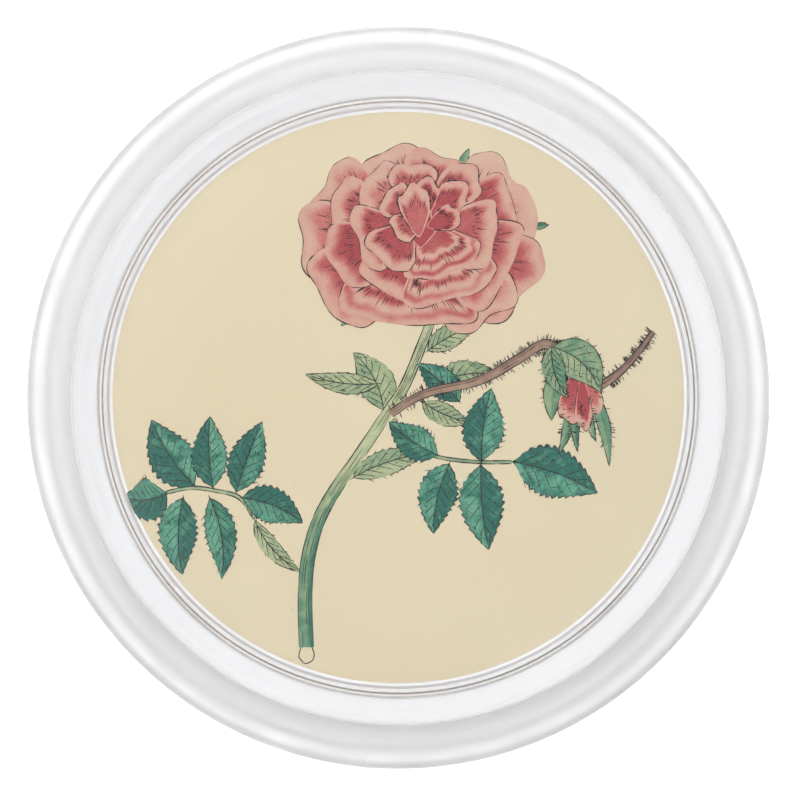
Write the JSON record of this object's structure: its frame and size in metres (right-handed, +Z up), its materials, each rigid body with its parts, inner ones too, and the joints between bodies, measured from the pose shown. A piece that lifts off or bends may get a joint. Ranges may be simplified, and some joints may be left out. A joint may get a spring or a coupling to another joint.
{
  "type": "powder jar",
  "caption": "Squat round glass jar for loose powder: rolled rim, dished glass lid backed by a rose-sprig print, soft seal ring, bumper feet and a velour puff with a ribbon band.",
  "frame": {"origin": "on the resting plane, at the centre of the circle of bumper feet, on the jar's axis", "axes": "+Z up along the jar's axis; +Y towards the top of the picture in the lid; +X to the picture's right, along the puff's ribbon band"},
  "size_m": [0.114, 0.114, 0.0712],
  "materials": {
    "jar_glass": "polished",
    "lid_glass": "polished",
    "clear_silicone": "satin",
    "milky_silicone": "satin",
    "print_paper": "matte",
    "backing_card": "matte",
    "flocked_lining": "matte",
    "velour": "matte",
    "wadding": "matte",
    "satin_cover": "satin",
    "satin_piping": "satin",
    "satin_ribbon": "satin"
  },
  "bodies": {
    "jar": {"jar_glass": "jar_glass", "foot_pad_1": "clear_silicone", "foot_pad_2": "clear_silicone", "foot_pad_3": "clear_silicone", "foot_pad_4": "clear_silicone"},
    "puff": {"puff_pile": "velour", "puff_core": "wadding", "puff_cover": "satin_cover", "puff_piping": "satin_piping", "puff_ribbon": "satin_ribbon"},
    "seal": {"lid_seal": "milky_silicone"},
    "lid": {"lid_glass": "lid_glass", "print_sheet": "print_paper", "backing_card": "backing_card", "lid_lining": "flocked_lining"}
  },
  "joints": [
    {"name": "puff_lift", "type": "slide", "parent": "jar", "child": "puff", "axis": [0, 0, 1], "range_m": [0, 0.075]},
    {"name": "lid_lift", "type": "slide", "parent": "puff", "child": "seal", "axis": [0, 0, 1], "range_m": [0, 0.075]},
    {"name": "lid_turn", "type": "hinge", "parent": "seal", "child": "lid", "pos_m": [0, 0, 0.064], "axis": [0, 0, 1], "continuous": true}
  ]
}
